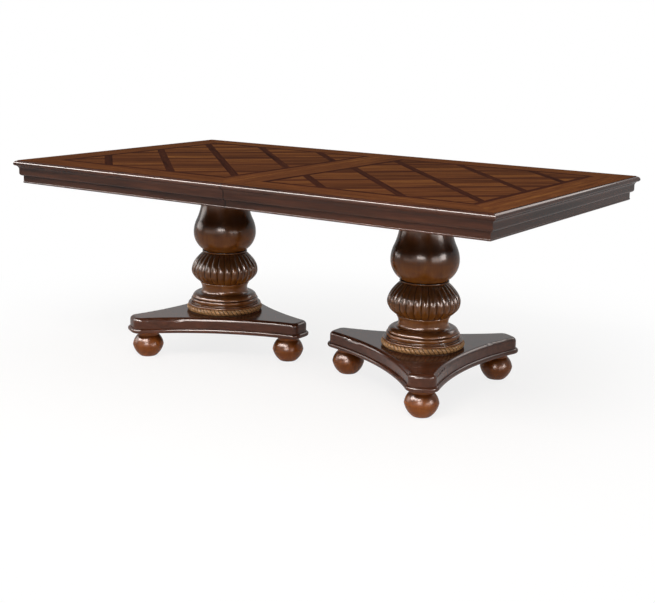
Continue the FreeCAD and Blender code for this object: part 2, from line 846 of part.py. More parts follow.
def melon_section(crest, groove, level):
    """Closed ring of convex lobes, one arc each, that meet in sharp valleys."""
    valley = crest - groove
    step = 2 * math.pi / LOBES
    arcs = []
    for number in range(LOBES):
        rays = [(valley, number * step), (crest, (number + 0.5) * step), (valley, (number + 1) * step)]
        ends = [FreeCAD.Vector(radius * math.cos(angle), radius * math.sin(angle), level)
                for radius, angle in rays]
        arcs.append(Part.Arc(*ends).toShape())
    return Part.Wire(arcs)


def make_melon(side):
    """Lower swelling of the column, carved in convex lobes: a loft through lobed sections."""
    belly = size.melon_belly_radius.value
    below = (size.melon_foot_radius.value, size.melon_belly_height.value, MELON_LOWER_POWER)
    above = (size.melon_top_radius.value, (size.melon_height - size.melon_belly_height).value,
             MELON_UPPER_POWER)
    heights = [(-share * below[1], below) for share in MELON_SECTION_SHARES]
    heights += [(0, above)] + [(share * above[1], above) for share in MELON_SECTION_SHARES[::-1]]
    deep = size.melon_belly_groove.value
    shallow = size.melon_pole_groove.value
    wires = []
    for height, end in heights:
        fade = (height / end[1]) ** 2
        wires.append(melon_section(melon_radius(height, belly, end), deep + (shallow - deep) * fade,
                                   melon_belly.value + height))
    lobes = doc.addObject("Part::Feature", f"{side}_melon_lobes")
    lobes.Shape = Part.makeLoft(wires, True, False)
    over = size.cut_overrun
    mortise = size.spigot_radius + size.fit_gap
    depth = size.spigot_length + size.fit_gap
    bulb = cut(f"{side}_melon_bored", lobes, [
        peg(f"{side}_melon_bore", rod_bore, size.melon_height + over * 2, z=melon_low - over),
        peg(f"{side}_melon_mortise_low", mortise, depth + over, z=melon_low - over),
        peg(f"{side}_melon_mortise_high", mortise, depth + over, z=melon_top - depth)])
    stand(bulb, f"{side}_melon_bulb", side)


def make_socle(side):
    """Foot mouldings and neck of the column, with a spigot at each end."""
    tip = melon_low + size.spigot_length
    spigot = size.ring_bore_radius - size.fit_gap
    points = [
        (rod_bore, platform_top),
        (spigot, platform_top),
        (spigot, socle_low),
        (size.socle_ring_radius, socle_low),
        (size.socle_ring_radius, step_low - size.socle_ring_round),
        (size.socle_ring_radius - size.socle_ring_round, step_low),
        (size.socle_step_radius, step_low),
        (size.socle_step_radius, socle_cove_low),
        (size.socle_cove_radius, socle_bead_low),
        (size.socle_cove_radius, socle_quirk_low),
        (size.socle_quirk_radius, socle_quirk_low),
        (size.socle_quirk_radius, shelf_low),
        (size.shelf_radius, shelf_low),
        (size.shelf_radius, shelf_round_low),
        (size.shelf_radius - size.shelf_round, shelf_round_top),
        (size.shelf_lip_radius, shelf_top),
        (size.neck_radius, neck_level),
        (size.fillet_radius, fillet_low),
        (size.fillet_radius, melon_low),
        (size.spigot_radius, melon_low),
        (size.spigot_radius, tip),
        (rod_bore, tip),
    ]
    arcs = {4: (size.socle_ring_round, 1), 7: (size.socle_cove_curve, -1), 8: (size.socle_bead_curve, 1),
            12: (size.shelf_round, 1), 14: (size.neck_lower_curve, -1), 15: (size.neck_upper_curve, -1)}
    stand(turned(f"{side}_socle_body", points, arcs), f"{side}_socle", side)


def make_rope_ring(side):
    """Ring with a plain plinth and a half-round band, slipped over the socle's spigot."""
    points = [
        (size.ring_bore_radius, platform_top),
        (size.ring_plinth_radius, platform_top),
        (size.ring_plinth_radius, rope_low),
        (size.ring_rope_radius - size.ring_rope_height / 2, rope_low),
        (size.ring_rope_radius - size.ring_rope_height / 2, socle_low),
        (size.ring_bore_radius, socle_low),
    ]
    stand(turned(f"{side}_rope_body", points, {3: (size.ring_rope_curve, 1)}), f"{side}_rope_ring", side)


def draw_platform(sketch, inset):
    """Three-pointed outline: arcs about the axis at the tips, joined by large arcs that curve inwards."""
    reach = size.tip_reach - inset
    radius = size.side_radius + inset
    away = size.waist_reach + size.side_radius
    opening = (away.value ** 2 + reach.value ** 2 - radius.value ** 2) / (2 * away.value * reach.value)
    lean = math.acos(opening)
    pairs = []
    edges = []
    upright = FreeCAD.Vector(0, 0, 1)
    for degrees in FOOT_DEGREES:
        tip = math.radians(degrees)
        side = tip + math.pi / 3
        swing = math.pi / 3 - lean
        centre = FreeCAD.Vector(away.value * math.cos(side), away.value * math.sin(side), 0)
        corners = [FreeCAD.Vector(reach.value * math.cos(angle), reach.value * math.sin(angle), 0) - centre
                   for angle in (side + lean, side - lean)]
        ends = [math.atan2(corner.y, corner.x) for corner in corners]
        nose = sketch.addGeometry(Part.ArcOfCircle(Part.Circle(FreeCAD.Vector(), upright, reach.value),
                                                   tip - swing, tip + swing))
        hollow = sketch.addGeometry(Part.ArcOfCircle(Part.Circle(centre, upright, radius.value), *ends))
        edges += [(nose, 1, 2), (hollow, 2, 1)]
        pairs.append((Sketcher.Constraint("Coincident", nose, 3, -1, 1), None))
        pairs.append((Sketcher.Constraint("Radius", nose, reach.value), reach.formula))
        pairs.append((Sketcher.Constraint("Radius", hollow, radius.value), radius.formula))
        pairs += place_point(hollow, 3, away * math.cos(side), away * math.sin(side))
    for number, (geometry, first, last) in enumerate(edges):
        before = edges[number - 1]
        pairs.append((Sketcher.Constraint("Coincident", before[0], before[2], geometry, first), None))
    apply_constraints(sketch, pairs)


def round_edges(body, base, radius, wanted):
    """Fillet the edges of a feature that a test picks out."""
    doc.recompute()
    names = [f"Edge{number}" for number, edge in enumerate(base.Shape.Edges, start=1) if wanted(edge)]
    fillet = body.newObject("PartDesign::Fillet", f"{body.Name}_round")
    fillet.Base = (base, names)
    bind(fillet, Radius=radius)
    return fillet


def upright_between(low, high):
    """Test for the upright edges between two levels."""
    def wanted(edge):
        box = edge.BoundBox
        ends = ((box.ZMin, low), (box.ZMax, high))
        return all(abs(end - level.value) < size.fit_gap.value for end, level in ends)
    return wanted


def flat_at(levels):
    """Test for edges that lie at one of the levels."""
    def wanted(edge):
        box = edge.BoundBox
        return any(max(abs(box.ZMin - level.value), abs(box.ZMax - level.value)) < size.fit_gap.value
                   for level in levels)
    return wanted


def rounded_slab(name, inset, low, high, corner, rounding, rounded_levels):
    """Slab of the three-pointed outline with rounded corners and rounded edges at some levels."""
    body = new_body(name)
    sketch = new_sketch(body, "XY_Plane", low)
    draw_platform(sketch, inset)
    slab = extrude(body, sketch, high - low)
    slab = round_edges(body, slab, corner, upright_between(low, high))
    round_edges(body, slab, rounding, flat_at(rounded_levels))
    return body


def make_platform(side):
    """Three-pointed platform: a round-edged bead below and a tier with a rounded top edge above."""
    bead = rounded_slab(f"{side}_platform_bead", ZERO, size.foot_height, tier_low, size.bead_corner_radius,
                        size.bead_round, (size.foot_height, tier_low))
    tier = rounded_slab(f"{side}_platform_tier", size.tier_inset, tier_low, platform_top,
                        size.tier_corner_radius, size.tier_round, (platform_top,))
    over = size.cut_overrun
    tools = [peg(f"{side}_platform_bore", rod_bore, platform_top - size.foot_height + over, z=size.foot_height),
             peg(f"{side}_platform_well", size.nut_well_radius, size.nut_well_depth + over,
                 z=size.foot_height - over)]
    for number, (x, y) in enumerate(foot_places()):
        tools.append(peg(f"{side}_platform_foot_hole_{number}", size.foot_bolt_radius + size.fit_gap,
                         size.foot_bolt_bite + size.fit_gap + over, x, y, size.foot_height - over))
    blank = fuse(f"{side}_platform_blank", [bead, tier])
    stand(cut(f"{side}_platform_drilled", blank, tools), f"{side}_platform", side)


def foot_places():
    """Places of the three feet about the pedestal's axis."""
    angles = [math.radians(degrees) for degrees in FOOT_DEGREES]
    return [(foot_circle * math.cos(angle), foot_circle * math.sin(angle)) for angle in angles]


def make_feet(side, names):
    """Bun feet with their hanger bolts and floor glides."""
    hole = size.foot_bolt_radius + size.fit_gap
    bottom = size.foot_height - size.foot_bolt_bite - size.fit_gap
    points = [
        (ZERO, size.glide_height),
        (size.foot_sole_radius, size.glide_height),
        (size.foot_radius, size.foot_belly_height),
        (size.foot_neck_radius, foot_neck),
        (size.foot_collar_radius, size.foot_height),
        (hole, size.foot_height),
        (hole, bottom),
        (ZERO, bottom),
    ]
    arcs = {1: (size.foot_lower_curve, 1), 2: (size.foot_upper_curve, 1), 3: (size.foot_neck_curve, -1)}
    bolts = []
    glides = []
    for number, ((x, y), name) in enumerate(zip(foot_places(), names)):
        foot = turned(f"{side}_foot_{number}_body", points, arcs)
        move(foot, x, y)
        stand(group(f"{side}_foot_{number}", [foot]), f"{side}_foot_{name}", side)
        bolts.append(peg(f"{side}_foot_bolt_{number}", size.foot_bolt_radius, size.foot_bolt_bite * 2,
                         x, y, size.foot_height - size.foot_bolt_bite))
        glides.append(peg(f"{side}_glide_{number}", size.glide_radius, size.glide_height, x, y))
    stand(group(f"{side}_foot_bolt_set", bolts), f"{side}_foot_bolts", side)
    stand(group(f"{side}_glide_set", glides), f"{side}_glides", side)


def make_tie_rod(side):
    """Rod from the platform to the top plate, with a nut and a washer in a well at each end."""
    low_seat = size.foot_height + size.nut_well_depth
    high_seat = plate_top - size.nut_well_depth
    low = size.foot_height + size.rod_end
    solids = [peg(f"{side}_rod", size.rod_radius, plate_top - size.rod_end - low, z=low)]
    ends = ((low_seat - size.washer_thickness, low_seat - size.washer_thickness - size.nut_height),
            (high_seat, high_seat + size.washer_thickness))
    over = size.cut_overrun
    bore = size.rod_radius + size.fit_gap
    for number, (washer_low, nut_low) in enumerate(ends):
        nut = doc.addObject("Part::Prism", f"{side}_nut_blank_{number}")
        nut.Polygon = NUT_SIDES
        bind(nut, Circumradius=size.nut_radius, Height=size.nut_height)
        move(nut, z=nut_low)
        washer = peg(f"{side}_washer_blank_{number}", size.washer_radius, size.washer_thickness, z=washer_low)
        for name, blank, base, height in (("nut", nut, nut_low, size.nut_height),
                                          ("washer", washer, washer_low, size.washer_thickness)):
            hole = peg(f"{side}_{name}_hole_{number}", bore, height + over * 2, z=base - over)
            solids.append(cut(f"{side}_{name}_{number}", blank, [hole]))
    stand(group(f"{side}_rod_set", solids), f"{side}_tie_rod", side)


# The table

for half, half_angle, front_name, back_name, gap, depth in (
        ("left", HALF_TURN, "back", "front", size.fit_gap, size.pin_seat),
        ("right", 0, "front", "back", size.run_gap, size.pin_reach + size.pin_end_gap)):
    make_board(half, half_angle, gap, depth)
    make_veneers(half, half_angle)
    make_edges(half, half_angle, front_name, back_name)
    make_corner_blocks(half, half_angle)
    make_slide_rails(half, half_angle)
    make_plate(half)
    make_vase(half)
    make_melon(half)
    make_socle(half)
    make_rope_ring(half)
    make_platform(half)
    make_feet(half, (back_name, "inner", front_name))
    make_tie_rod(half)
make_slide_middles()
make_pins()
make_locks()

# Recompute, test every object and write the nodes

doc.recompute()
for item in doc.Objects:
    if "Invalid" in item.State or "Error" in item.State:
        raise RuntimeError(f"{item.Name} ({item.Label}) failed: {item.State}")
for item in nodes:
    if item.Shape.isNull() or not item.Shape.isValid() or not item.Shape.Solids:
        raise RuntimeError(f"{item.Label} has no sound shape")
os.makedirs("parts", exist_ok=True)
for item in nodes:
    item.Shape.exportStep(f"parts/{item.Label}.step")
print(len(nodes), "nodes,", sum(len(item.Shape.Solids) for item in nodes), "solids")
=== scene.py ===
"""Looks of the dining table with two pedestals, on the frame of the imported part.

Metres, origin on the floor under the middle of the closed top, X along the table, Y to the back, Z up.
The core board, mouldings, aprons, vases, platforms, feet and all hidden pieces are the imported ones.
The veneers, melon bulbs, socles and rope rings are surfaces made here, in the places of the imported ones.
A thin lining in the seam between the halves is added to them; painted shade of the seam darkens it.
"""
import itertools
import json
import math

import bpy
import numpy as np
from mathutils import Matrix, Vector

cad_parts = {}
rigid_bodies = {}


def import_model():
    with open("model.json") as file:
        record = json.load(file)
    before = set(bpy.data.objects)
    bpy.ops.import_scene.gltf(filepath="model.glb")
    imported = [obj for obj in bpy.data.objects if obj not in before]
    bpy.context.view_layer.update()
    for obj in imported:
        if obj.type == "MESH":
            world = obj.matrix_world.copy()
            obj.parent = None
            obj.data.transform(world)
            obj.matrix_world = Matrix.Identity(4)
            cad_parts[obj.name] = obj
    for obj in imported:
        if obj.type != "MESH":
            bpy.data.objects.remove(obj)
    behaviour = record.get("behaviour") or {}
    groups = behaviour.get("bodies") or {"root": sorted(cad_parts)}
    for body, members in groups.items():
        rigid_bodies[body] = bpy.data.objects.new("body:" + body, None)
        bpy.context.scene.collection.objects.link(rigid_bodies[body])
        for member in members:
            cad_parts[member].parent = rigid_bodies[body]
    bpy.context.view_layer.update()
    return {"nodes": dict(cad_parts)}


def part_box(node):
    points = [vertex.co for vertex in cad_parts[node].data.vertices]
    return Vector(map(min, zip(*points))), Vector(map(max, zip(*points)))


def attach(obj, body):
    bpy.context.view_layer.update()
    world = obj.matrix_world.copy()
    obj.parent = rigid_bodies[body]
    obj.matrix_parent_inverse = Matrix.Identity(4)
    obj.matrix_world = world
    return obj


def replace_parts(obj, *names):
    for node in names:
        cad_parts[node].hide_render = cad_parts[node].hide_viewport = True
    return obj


for item in list(bpy.data.objects):
    bpy.data.objects.remove(item)
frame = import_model()
scene = bpy.context.scene

# The halves of the table, each with its shift in the run of cell tones
HALVES = {"left": -1, "right": 1}
# Axes that grain can run along
ALONG_TABLE, ACROSS_TABLE, UPRIGHT = range(3)

# Lining of the seam: the clearance is how far it is sunk into the left half's ends, and how far it stops
# short of the right half's
SEAM_CLEARANCE = 0.0001
# Pieces whose ends are lined, with the inset of the lining across the table and upright
SEAM_PIECES = (("top_board", 0.0005, 0.0005), ("border_veneer", 0.0001, 0.0001),
               ("apron_front", 0.007, 0.003), ("apron_back", 0.007, 0.003))

# Parquet: widths, the pitch of the lattice along the table, and how many of its lines and how much length
# of its bands are laid out on each side of the field's middle before they are trimmed
STRING_WIDTH = 0.022
BAND_WIDTH = 0.030
JOINT_WIDTH = 0.007
LATTICE_PITCH = 0.306
LATTICE_REACH = 4
BAND_REACH = 1.0
DIAGONAL = math.pi / 4
STRIPS_PER_CELL = 2

# Tones of the veneer leaves: the middle tone of each kind and its swing from leaf to leaf
LEAF_TONES = {"border": (0.0, 0.05), "string": (-0.05, 0.04), "falling band": (-0.08, 0.05),
              "rising band": (0.16, 0.06), "cell": (-0.02, 0.13)}
JOINT_TONE = -0.5
# Run of tones: its step from number to number, its start, and the numbers from one short band to the next
GOLDEN_SHARE = 0.618034
TONE_START = 0.31
TONE_STRIDE = 3
# Shift of the figure from leaf to leaf, along and across the grain
LEAF_SHIFT = (1.7, 0.37)

# Bore down the column, for the tie rod
BORE = 0.020

# Melon bulb
LOBES = 28
LOBE_STEPS = 24
LOBE_POWER = 2.4
VALLEY_SHADE_POWER = 7
MELON_LEVELS = 61
MELON_BELLY_SHARE = 48 / 119
MELON_FOOT_RADIUS = 0.097
MELON_TOP_RADIUS = 0.084
MELON_LOWER_POWER = 2.2
MELON_UPPER_POWER = 1.8
MELON_GROOVE = 0.0075
MELON_GROOVE_FADE = 0.6

# Rope ring, with the plinth below its half-round
ROPE_STRANDS = 56
ROPE_STEPS_PER_STRAND = 24
ROPE_LEVELS = 25
ROPE_RADIUS = 0.0105
ROPE_LEAN = 1.1
ROPE_GROOVE = 0.0026
ROPE_GROOVE_POWER = 10
ROPE_INNER_RADIUS = 0.060
ROPE_PLINTH = 0.002
ROPE_PLINTH_INSET = 0.004
ROPE_RISE = 0.023

# Section of the socle from its spigot up to the bulb: radius, height above the rope ring, rise of the arc to
# the next point (outward above zero) and share of painted shade there, dark in the quirks and under the ring
SOCLE_SECTION = (
    (0.0595, -0.0230, 0, 0), (0.0595, 0.0000, 0, 0), (0.1425, 0.0000, 0.0004, 1),
    (0.1440, 0.0015, 0, 0.3), (0.1440, 0.0030, 0.0018, 0), (0.1385, 0.0075, 0, 0),
    (0.1345, 0.0078, 0, 0.8), (0.1345, 0.0095, 0.0004, 0), (0.1330, 0.0110, 0, 0),
    (0.1280, 0.0112, 0, 1), (0.1275, 0.0125, 0.0050, 0), (0.1275, 0.0285, 0, 0),
    (0.1250, 0.0290, 0, 1), (0.1250, 0.0305, 0, 1), (0.1268, 0.0305, 0, 0.5),
    (0.1268, 0.0320, 0.0060, 0), (0.1000, 0.0475, 0, 0), (0.0980, 0.0480, -0.0022, 0),
    (0.0900, 0.0640, -0.0014, 0), (0.0945, 0.0835, 0, 0.3), (0.0945, 0.0838, 0.0020, 0),
    (0.0945, 0.0905, 0, 0), (0.0930, 0.0910, 0, 1),
)
SOCLE_STEPS = 192
ARC_STEPS = 12

# Ranges in which one value goes over to another: where it starts and ends, and the shares there
STAIN_STEPS = ((0.30, 0.52), (0.50, 0.72))
STAIN_PORES = (0.60, 0.44, 0.0, 0.35)
VENEER_STEPS = ((0.20, 0.50), (0.50, 0.85))
VENEER_PORES = (0.60, 0.42, 0.0, 0.5)
RECESS_SHADE_COVER = (0.25, 1.0, 0.0, 0.85)
PLATING_CLOUD = (0.3, 0.7, 0.28, 0.45)
FLOOR_WHITENING = (0.8, 2.2, 0.82, 1.0)
STUDIO_WALLS = (0.45, 0.8, 1.0, 0.3)
STUDIO_LIGHT = (0.0, 1.0, 0.15, 0.9)

# Painted shade of the seam: the distance from the seam at which it starts to thin out, and its cover up to
# there
SEAM_SHADE_START = 0.001
SEAM_SHADE_COVER = 0.7

# Colours that several finishes share: the painted shade on upward faces, and the painted shade in recesses
# and the seam
TOP_SHADE_COLOUR = "#1c0b05"
RECESS_AND_SEAM_SHADE = "#140a06"


def linear(code):
    """Linear red, green, blue and alpha of an sRGB hex code."""
    values = [int(code[place:place + 2], 16) / 255 for place in (1, 3, 5)]
    return tuple(value / 12.92 if value <= 0.04045 else ((value + 0.055) / 1.055) ** 2.4
                 for value in values) + (1.0,)


# Shader building

def add(tree, kind, inputs=None, **settings):
    """Adds one shader node; an input is a value, or the output socket that feeds it."""
    made = tree.nodes.new(kind)
    for name, value in settings.items():
        setattr(made, name, value)
    for key, value in (inputs or {}).items():
        if isinstance(value, bpy.types.NodeSocket):
            tree.links.new(value, made.inputs[key])
        else:
            made.inputs[key].default_value = value
    return made


def new_material(name):
    """An empty material and its node tree."""
    made = bpy.data.materials.new(name)
    made.use_nodes = True
    made.node_tree.nodes.clear()
    return made, made.node_tree


def close_material(tree, **inputs):
    """Ends a material in one principled shader; two underscores in an input's name stand for a space."""
    shader = add(tree, "ShaderNodeBsdfPrincipled",
                 {name.replace("__", " "): value for name, value in inputs.items()})
    add(tree, "ShaderNodeOutputMaterial", {"Surface": shader.outputs[0]})


def mix(tree, share, first, second):
    """Colour between two colours."""
    return add(tree, "ShaderNodeMix", {0: share, 6: first, 7: second}, data_type="RGBA").outputs[2]


def calculate(tree, operation, *values):
    """Result of one arithmetic step on values."""
    return add(tree, "ShaderNodeMath", dict(enumerate(values)), operation=operation).outputs[0]


def spread(tree, value, low, high, to_low=0.0, to_high=1.0):
    """A value moved smoothly from one range into another and held at its ends."""
    return add(tree, "ShaderNodeMapRange", {0: value, 1: low, 2: high, 3: to_low, 4: to_high},
               interpolation_type="SMOOTHSTEP").outputs[0]


def own_place(tree):
    """Place on the piece, in its own coordinates."""
    return add(tree, "ShaderNodeTexCoord").outputs["Object"]


def component(tree, vector, axis):
    """One of the three numbers of a vector."""
    return add(tree, "ShaderNodeSeparateXYZ", {0: vector}).outputs[axis]


def own_attribute(tree, name):
    """A number that the piece carries from point to point."""
    return add(tree, "ShaderNodeAttribute", attribute_name=name).outputs["Fac"]


def speckle(tree, scale, detail):
    """Noise that is even in all directions."""
    return add(tree, "ShaderNodeTexNoise",
               {"Vector": own_place(tree), "Scale": scale, "Detail": detail}).outputs[0]


def grain_fields(tree, place, along, broad=0.030, fine=0.0022, length=14.0):
    """Broad figure and fine pore streaks: two noises, stretched along one axis of the coordinates.

    The figure is length times as long as it is wide, and the pores are three times that.
    """
    fields = []
    for width, stretch, detail in ((broad, length, 3.0), (fine, length * 3, 2.0)):
        scale = [1 / width] * 3
        scale[along] /= stretch
        mapped = add(tree, "ShaderNodeMapping", {"Vector": place, "Scale": scale}).outputs[0]
        noise = {"Vector": mapped, "Scale": 1.0, "Detail": detail, "Roughness": 0.6, "Distortion": 0.35}
        fields.append(add(tree, "ShaderNodeTexNoise", noise).outputs[0])
    return fields


def grained_colour(tree, figure, pores, tones, steps, pore_cover):
    """Colour that goes with the figure from a dark tone over a middle one to a light one; pores are dark."""
    dark, middle, light = [linear(code) for code in tones]
    colour = mix(tree, spread(tree, figure, *steps[0]), dark, middle)
    colour = mix(tree, spread(tree, figure, *steps[1]), colour, light)
    return mix(tree, spread(tree, pores, *pore_cover), colour, dark)


def stained_wood(name, along, tones, top_shade=0.0, onset=(0.0, 0.65), seam=0.0, **finish):
    """Stained wood under lacquer: broad figure between three tones, fine pores pressed in below the film.

    Painted shade darkens what looks up, as the table top's shade would, and leaves the undersides warm.
    It sets in between the two upward shares of the surface normal in onset.
    Carved pieces carry a point attribute that is 1 where painted shade darkens a groove, quirk or recess.
    Where the halves meet, painted shade of the seam darkens the ends out to the distance called seam.
    """
    made, tree = new_material(name)
    place = own_place(tree)
    figure, pores = grain_fields(tree, place, along)
    colour = grained_colour(tree, figure, pores, tones, STAIN_STEPS, STAIN_PORES)
    if top_shade:
        # Painted shade: darker where the surface normal points up
        normal = add(tree, "ShaderNodeNewGeometry").outputs["Normal"]
        upward = component(tree, normal, "Z")
        colour = mix(tree, spread(tree, upward, *onset, 0.0, top_shade), colour, linear(TOP_SHADE_COLOUR))
    if seam:
        # Painted shade of the seam, darkest at the line where the halves meet
        distance = calculate(tree, "ABSOLUTE", component(tree, place, "X"))
        seam_shade = spread(tree, distance, SEAM_SHADE_START, seam, SEAM_SHADE_COVER, 0.0)
        colour = mix(tree, seam_shade, colour, linear(RECESS_AND_SEAM_SHADE))
    # Painted shade in grooves, quirks and recesses
    glaze = spread(tree, own_attribute(tree, "glaze"), *RECESS_SHADE_COVER)
    colour = mix(tree, glaze, colour, linear(RECESS_AND_SEAM_SHADE))
    bump = add(tree, "ShaderNodeBump", {"Height": pores, "Strength": 0.04, "Distance": 0.0004}).outputs[0]
    close_material(tree, Base__Color=colour, Normal=bump, **finish)
    return made


GLOSS = {"Roughness": 0.5, "Specular__IOR__Level": 0.0, "Coat__Weight": 0.45, "Coat__Roughness": 0.2,
         "Coat__IOR": 1.45}
RUN_GLOSS = {**GLOSS, "Coat__Roughness": 0.11}
FULL_GLOSS = {**GLOSS, "Coat__Weight": 0.55}

# Walnut-stained hardwood, turned, under sprayed gloss lacquer: pale blobs of light on the swellings, with
# hardly any grain left to see through the stain, and the most painted shade on what faces up
TURNED = stained_wood("lacquered turned walnut", UPRIGHT, ("#60350f", "#6e3f14", "#7a4818"),
                      top_shade=0.88, onset=(-0.15, 0.4), **GLOSS)
# The carved bulb, with less painted shade above than the vase: brown lobes with bright ridges over a golden
# brown underside
CARVED = stained_wood("lacquered carved walnut", UPRIGHT, ("#643810", "#724315", "#7e4d1a"),
                      top_shade=0.62, onset=(0.0, 0.6), **{**GLOSS, "Coat__Weight": 0.65})
# The turned feet, with the least painted shade above and lacquered a little duller: warm orange-brown all
# round
FEET = stained_wood("lacquered base walnut", UPRIGHT, ("#743c12", "#844818", "#90521c"),
                    top_shade=0.3, **{**GLOSS, "Coat__Roughness": 0.24})
# The turned socle: amber on its beads and neck, with painted shade on its upward shelf and in its quirks
SOCLE = stained_wood("lacquered socle walnut", UPRIGHT, ("#744218", "#824e20", "#8e5828"),
                     top_shade=0.6, onset=(0.3, 0.85), **FULL_GLOSS)
# The same wood on the rope: golden brown, lightened as painted highlight of its lit strands, between thin
# grooves of painted shade
ROPE = stained_wood("golden carved walnut with painted highlight", UPRIGHT, ("#ae8356", "#be9162", "#cc9f6e"),
                    **{**GLOSS, "Coat__Weight": 0.2})
# The same lacquered stain on the flat platforms, with the grain along the table: dark with painted shade on
# top, under a clear shine
PLATFORM = stained_wood("lacquered platform walnut", ALONG_TABLE, ("#4a2a1b", "#583222", "#643a28"),
                        top_shade=0.35, **{**FULL_GLOSS, "Coat__Roughness": 0.14})
# Dark-stained walnut run through a moulding cutter and lacquered: near black-brown, with thin lights on the
# rounds, and painted shade of the seam on the lengthwise pieces
RAIL_LONG = stained_wood("lacquered moulding walnut lengthwise", ALONG_TABLE,
                         ("#301a11", "#46281b", "#543020"), seam=0.005, **RUN_GLOSS)
RAIL_CROSS = stained_wood("lacquered moulding walnut crosswise", ACROSS_TABLE,
                          ("#2a160e", "#3e2217", "#4c2b1c"), **RUN_GLOSS)
# Plain sawn beech of the hidden frame, unfinished: pale and dull, with faint streaks along the saw cut
BEECH = stained_wood("sawn beech", ALONG_TABLE, ("#a9825a", "#bf9870", "#cfab84"), Roughness=0.75)
# Pressed fibre core board, unfinished: fawn and dull, with tones that lie close together
CORE = stained_wood("fibre core board", ALONG_TABLE, ("#8d7257", "#9a7f63", "#a58b70"), Roughness=0.85)


def veneer_material(name, tones):
    """Sliced veneer under satin lacquer, with the grain along the first of the two coordinates of each leaf.

    The attribute 'tone' of each leaf moves its colour between the tones, because each leaf is cut from
    another sheet.
    """
    made, tree = new_material(name)
    place = add(tree, "ShaderNodeUVMap", uv_map="grain").outputs[0]
    figure, pores = grain_fields(tree, place, along=0, broad=0.022, fine=0.0018, length=16.0)
    shifted = calculate(tree, "ADD", figure, own_attribute(tree, "tone"))
    colour = grained_colour(tree, shifted, pores, tones, VENEER_STEPS, VENEER_PORES)
    bump = add(tree, "ShaderNodeBump", {"Height": pores, "Strength": 0.03, "Distance": 0.0002}).outputs[0]
    close_material(tree, Base__Color=colour, Normal=bump, Roughness=0.6, Specular__IOR__Level=0.0,
                   Coat__Weight=0.012, Coat__Roughness=0.15)
    return made


# Walnut veneer leaves: warm orange-brown, from leaf to leaf a little lighter or darker
LEAF = veneer_material("walnut veneer leaves", ("#3b2012", "#633a1f", "#8a5a2c"))
# Dark-dyed veneer of the string lines and bands: nearly black-brown across the warm leaves
DYED = veneer_material("dark dyed veneer", ("#28130b", "#3e2014", "#59331d"))


def metal_material():
    """Zinc-plated steel: grey, a little cloudy from the plating bath."""
    made, tree = new_material("zinc plated steel")
    cloud = speckle(tree, scale=180.0, detail=3.0)
    close_material(tree, Base__Color=mix(tree, cloud, linear("#8d9297"), linear("#b9bdc0")), Metallic=1.0,
                   Roughness=spread(tree, cloud, *PLATING_CLOUD))
    return made


def nylon_material():
    """Moulded nylon of the floor glides: dark, dull, with a fine mould grain."""
    made, tree = new_material("moulded nylon")
    grain = speckle(tree, scale=900.0, detail=2.0)
    close_material(tree, Base__Color=mix(tree, grain, linear("#2a2827"), linear("#3a3735")), Roughness=0.6)
    return made


STEEL = metal_material()
NYLON = nylon_material()


# Surfaces

def new_piece(name, points, faces, material, sharp=35):
    """A mesh object at the origin, smooth except at edges sharper than an angle in degrees."""
    mesh = bpy.data.meshes.new(name)
    mesh.from_pydata(points, [], faces)
    mesh.materials.append(material)
    mesh.polygons.foreach_set("use_smooth", [True] * len(mesh.polygons))
    mesh.set_sharp_from_angle(angle=math.radians(sharp))
    made = bpy.data.objects.new(name, mesh)
    scene.collection.objects.link(made)
    return made


def take_place(piece, side, node):
    """Rides a piece on its half of the table, in the place of a packed one."""
    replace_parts(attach(piece, f"{side}_half"), f"{side}_{node}")


def ring_faces(rows, columns):
    """Quads of a grid whose columns and rows both close on themselves."""
    row, column = np.meshgrid(np.arange(rows), np.arange(columns), indexing="ij")
    below, beside = (row + 1) % rows, (column + 1) % columns
    return np.stack([row * columns + column, row * columns + beside, below * columns + beside,
                     below * columns + column], -1).reshape(-1, 4).tolist()


def closed_ring(name, box, radius, height, glaze, material, sharp):
    """A closed surface round the upright axis of a box, by section point and angle: radius, height, painted
    shade.
    """
    rows, columns = radius.shape
    angle = np.linspace(0, 2 * math.pi, columns, endpoint=False)
    points = np.stack([(box[0].x + box[1].x) / 2 + radius * np.cos(angle),
                       (box[0].y + box[1].y) / 2 + radius * np.sin(angle),
                       np.broadcast_to(height, radius.shape)], -1)
    made = new_piece(name, points.reshape(-1, 3).tolist(), ring_faces(rows, columns), material, sharp)
    made.data.attributes.new("glaze", "FLOAT", "POINT").data.foreach_set(
        "value", np.broadcast_to(glaze, radius.shape).ravel())
    return made


def melon_bulb(name, box, material):
    """Lobed bulb: the crest sinks from the belly to each end by a power of the share of the height.

    With u from -1 to 1 across a lobe the radius is crest - groove * |u| ** lobe power, so lobes meet in sharp
    valleys. The grooves fade towards both ends, and the bore closes the section inside.
    """
    low, high = box[0].z, box[1].z
    belly = (box[1].x - box[0].x) / 2
    waist = low + (high - low) * MELON_BELLY_SHARE
    level = low + (high - low) * (1 - np.cos(np.linspace(0, math.pi, MELON_LEVELS))) / 2
    below = level < waist
    share = np.abs(level - waist) / np.where(below, waist - low, high - waist)
    sink = belly - np.where(below, MELON_FOOT_RADIUS, MELON_TOP_RADIUS)
    crest = belly - sink * share ** np.where(below, MELON_LOWER_POWER, MELON_UPPER_POWER)
    groove = MELON_GROOVE * (1 - MELON_GROOVE_FADE * share ** 2)
    across = np.abs(np.tile(np.linspace(-1, 1, LOBE_STEPS, endpoint=False), LOBES))
    lobes = crest[:, None] - groove[:, None] * across ** LOBE_POWER
    radius = np.concatenate([lobes, np.full((2, across.size), BORE)])
    height = np.concatenate([level, [high, low]])[:, None]
    # Painted shade darkens the valleys between the lobes
    return closed_ring(name, box, radius, height, across ** VALLEY_SHADE_POWER, material, sharp=60)


